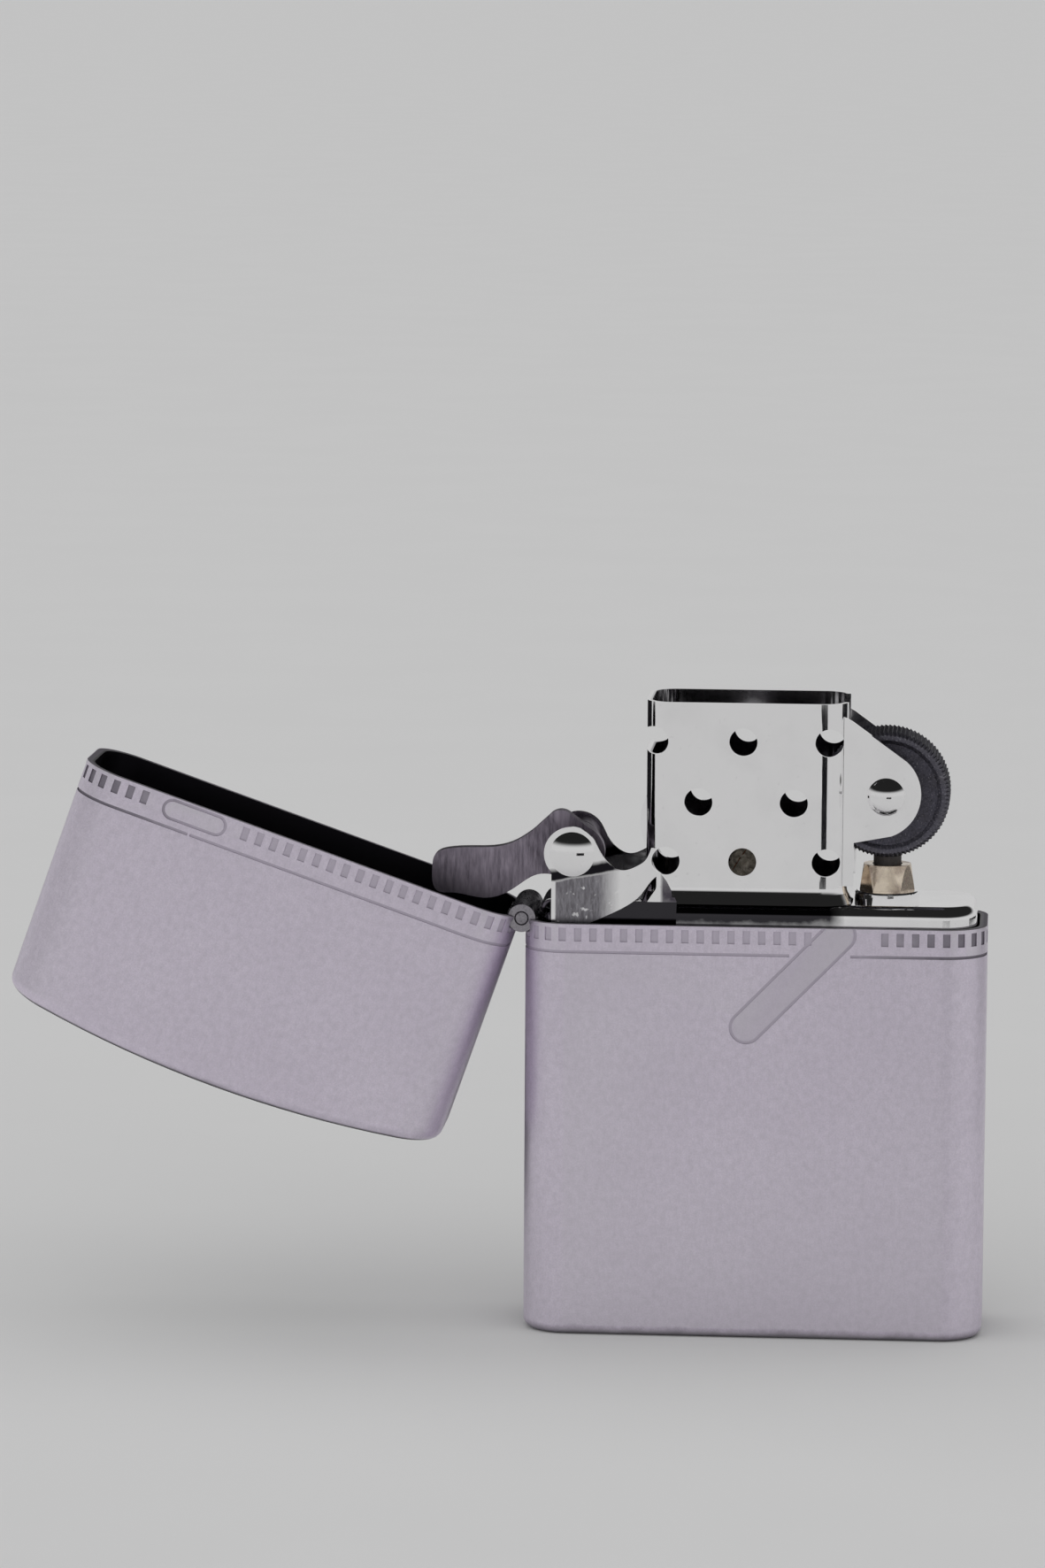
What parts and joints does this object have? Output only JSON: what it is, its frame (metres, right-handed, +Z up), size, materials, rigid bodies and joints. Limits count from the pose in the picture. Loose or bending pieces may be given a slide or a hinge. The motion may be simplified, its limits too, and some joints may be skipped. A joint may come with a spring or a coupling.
{
  "type": "refillable windproof lighter",
  "caption": "Refillable flip-top metal lighter with hinged lid, cam, striker wheel, perforated chimney, wick and removable inside unit.",
  "frame": {"origin": "centre of the case's flat base, on the surface it stands on", "axes": "+X along the case's width, away from the lid hinge; +Y from the front face to the back; +Z up"},
  "size_m": [0.081, 0.0128, 0.0527],
  "materials": {
    "case_metal": "satin, faint lilac-grey, engraved band filled dark",
    "lid_metal": "satin outside, dark inside",
    "hinge_steel": "brushed",
    "insert_steel": "polished",
    "chimney_steel": "polished",
    "cam_steel": "vertical brushing",
    "rivet_steel": "polished",
    "spring_steel": "blued spring steel",
    "wheel_steel": "knurled, dark",
    "brass": "turned",
    "flint_alloy": "dull",
    "wick_cord": "braided cotton with fine copper strands, charred tip",
    "packing_fibre": "loose white fibre",
    "felt": "pressed wool felt"
  },
  "bodies": {
    "case": {"case_shell": "case_metal", "case_hinge_plate": "hinge_steel", "hinge_pin": "hinge_steel"},
    "lid": {"lid_shell": "lid_metal", "lid_hinge_plate": "hinge_steel"},
    "inside_unit": {"insert_shell": "insert_steel", "chimney": "chimney_steel", "cam_rivet": "rivet_steel", "cam_spring": "spring_steel", "cam_spring_rivet": "rivet_steel", "wheel_rivet": "rivet_steel", "flint_tube": "brass", "flint_tube_washer": "insert_steel", "flint_tube_collar": "brass", "flint": "flint_alloy", "packing": "packing_fibre", "felt_pad": "felt"},
    "cam": {"cam": "cam_steel"},
    "wheel": {"striker_wheel": "wheel_steel"},
    "screw_carrier": {"flint_spring": "spring_steel", "flint_spring_tip": "brass"},
    "screw": {"flint_screw": "brass"},
    "wick": {"wick": "wick_cord"}
  },
  "joints": [
    {"name": "lid_hinge", "type": "hinge", "parent": "case", "child": "lid", "pos_m": [-0.0193, 0, 0.0345], "axis": [0, -1, 0], "range_deg": [-160.7, 0]},
    {"name": "insert_slide", "type": "slide", "parent": "case", "child": "inside_unit", "axis": [0, 0, 1], "range_m": [0, 0.042]},
    {"name": "cam_pivot", "type": "hinge", "parent": "inside_unit", "child": "cam", "pos_m": [-0.0151, 0, 0.04], "axis": [0, -1, 0], "range_deg": [-102.9, 0], "deforming": ["cam_spring"]},
    {"name": "wheel_spin", "type": "hinge", "parent": "inside_unit", "child": "wheel", "pos_m": [0.0106, 0, 0.04505], "axis": [0, 1, 0], "continuous": true},
    {"name": "screw_travel", "type": "slide", "parent": "inside_unit", "child": "screw_carrier", "axis": [0, 0, -1], "range_m": [0, 0.001]},
    {"name": "screw_turn", "type": "hinge", "parent": "screw_carrier", "child": "screw", "pos_m": [0.0107, 0, 0.0025], "axis": [0, 0, -1], "range_deg": [0, 520]},
    {"name": "wick_pull", "type": "slide", "parent": "inside_unit", "child": "wick", "axis": [0, 0, 1], "range_m": [0, 0.004]}
  ],
  "couplings": [
    {"joint": "cam_pivot", "follows": "lid_hinge", "ratio": 0.64},
    {"joint": "screw_turn", "follows": "screw_travel", "rad_per_m": 8976}
  ]
}
